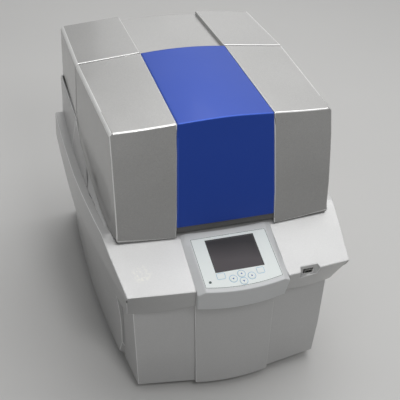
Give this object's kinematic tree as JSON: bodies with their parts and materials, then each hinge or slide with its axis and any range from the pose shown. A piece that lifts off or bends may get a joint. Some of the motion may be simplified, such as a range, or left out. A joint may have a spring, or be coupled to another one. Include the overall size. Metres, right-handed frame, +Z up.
{
  "type": "benchtop sequencer",
  "caption": "Benchtop laboratory sequencer: hinged lid with a centre panel over a process chamber, sloping operator console with screen and keys, flared base with rear services.",
  "frame": {"origin": "centre of the bounding box in X and Y, at the underside of the feet", "axes": "+X to the right of someone facing the console, +Y to the rear, +Z up"},
  "size_m": [0.3958, 0.511, 0.4246],
  "materials": {
    "silver_paint": "satin metallic paint with a fine flake",
    "pearl_paint": "pearl silver paint, fine speckle",
    "blue_satin": "satin blue",
    "console_white": "fine matt",
    "overlay_film": "smooth film",
    "screen_glass": "dark, polished",
    "dark_plastic": "matt",
    "lamp_lens": "clear moulded",
    "key_white": "smooth film",
    "liner_grey": "matt",
    "aluminium": "bead blasted",
    "steel": "zinc plated",
    "rear_grey": "textured paint",
    "board_green": "solder mask",
    "rubber": "matt",
    "cartridge_blue": "moulded",
    "clear_cover": "smooth"
  },
  "bodies": {
    "housing": {"base_shell": "pearl_paint", "usb_port": "steel", "front_cover": "pearl_paint", "front_panel": "pearl_paint", "collar": "pearl_paint", "rear_cover": "silver_paint", "console": "console_white", "console_overlay": "overlay_film", "display_glass": "screen_glass", "display_module": "dark_plastic", "status_lamp": "lamp_lens", "base_plate": "steel", "foot_front_left": "rubber", "foot_front_right": "rubber", "foot_rear_left": "rubber", "foot_rear_right": "rubber", "rear_panel": "rear_grey", "power_inlet": "dark_plastic", "switch_bezel": "dark_plastic", "network_port": "steel", "fan_frame": "dark_plastic", "fan_guard": "steel", "power_supply": "steel", "main_board": "board_green", "work_deck": "aluminium", "chamber_seal": "rubber", "bulkhead": "liner_grey", "heating_block": "aluminium", "dispenser": "liner_grey", "cartridge": "cartridge_blue", "camera_unit": "dark_plastic", "hinge_bracket_left": "steel", "hinge_bracket_right": "steel"},
    "lid": {"lid_side_left": "silver_paint", "lid_side_right": "silver_paint", "lid_panel": "blue_satin", "lid_liner": "liner_grey", "lid_arm_left": "aluminium", "lid_arm_right": "aluminium"},
    "frame_clamp": {"plate_frame": "aluminium"},
    "cartridge_door": {"cartridge_cover": "clear_cover"},
    "rotor": {"fan_rotor": "dark_plastic"},
    "rocker": {"switch_rocker": "dark_plastic"},
    "key_left_cap": {"key_left": "key_white"},
    "key_up_cap": {"key_up": "key_white"},
    "key_down_cap": {"key_down": "key_white"},
    "key_right_cap": {"key_right": "key_white"},
    "key_soft_left_cap": {"key_soft_left": "key_white"},
    "key_soft_right_cap": {"key_soft_right": "key_white"}
  },
  "joints": [
    {"name": "lid_hinge", "type": "hinge", "parent": "housing", "child": "lid", "pos_m": [0, 0.1565, 0.398], "axis": [-1, 0, 0], "range_deg": [0, 70]},
    {"name": "plate_frame_hinge", "type": "hinge", "parent": "housing", "child": "frame_clamp", "pos_m": [0, -0.019, 0.2725], "axis": [-1, 0, 0], "range_deg": [0, 95]},
    {"name": "cartridge_cover_hinge", "type": "hinge", "parent": "housing", "child": "cartridge_door", "pos_m": [0, 0.0625, 0.3478], "axis": [-1, 0, 0], "range_deg": [0, 92]},
    {"name": "fan_spin", "type": "hinge", "parent": "housing", "child": "rotor", "pos_m": [0.062, 0.2345, 0.118], "axis": [0, 1, 0], "continuous": true},
    {"name": "mains_rocker", "type": "hinge", "parent": "housing", "child": "rocker", "pos_m": [-0.062, 0.248, 0.062], "axis": [1, 0, 0], "range_deg": [0, 14]},
    {"name": "key_left_press", "type": "slide", "parent": "housing", "child": "key_left_cap", "axis": [0, 0.2803, -0.9599], "range_m": [0, 0.00045], "stiffness_N_per_m": 2200},
    {"name": "key_up_press", "type": "slide", "parent": "housing", "child": "key_up_cap", "axis": [0, 0.2803, -0.9599], "range_m": [0, 0.00045], "stiffness_N_per_m": 2200},
    {"name": "key_down_press", "type": "slide", "parent": "housing", "child": "key_down_cap", "axis": [0, 0.2803, -0.9599], "range_m": [0, 0.00045], "stiffness_N_per_m": 2200},
    {"name": "key_right_press", "type": "slide", "parent": "housing", "child": "key_right_cap", "axis": [0, 0.2803, -0.9599], "range_m": [0, 0.00045], "stiffness_N_per_m": 2200},
    {"name": "key_soft_left_press", "type": "slide", "parent": "housing", "child": "key_soft_left_cap", "axis": [0, 0.2803, -0.9599], "range_m": [0, 0.00045], "stiffness_N_per_m": 2200},
    {"name": "key_soft_right_press", "type": "slide", "parent": "housing", "child": "key_soft_right_cap", "axis": [0, 0.2803, -0.9599], "range_m": [0, 0.00045], "stiffness_N_per_m": 2200}
  ]
}
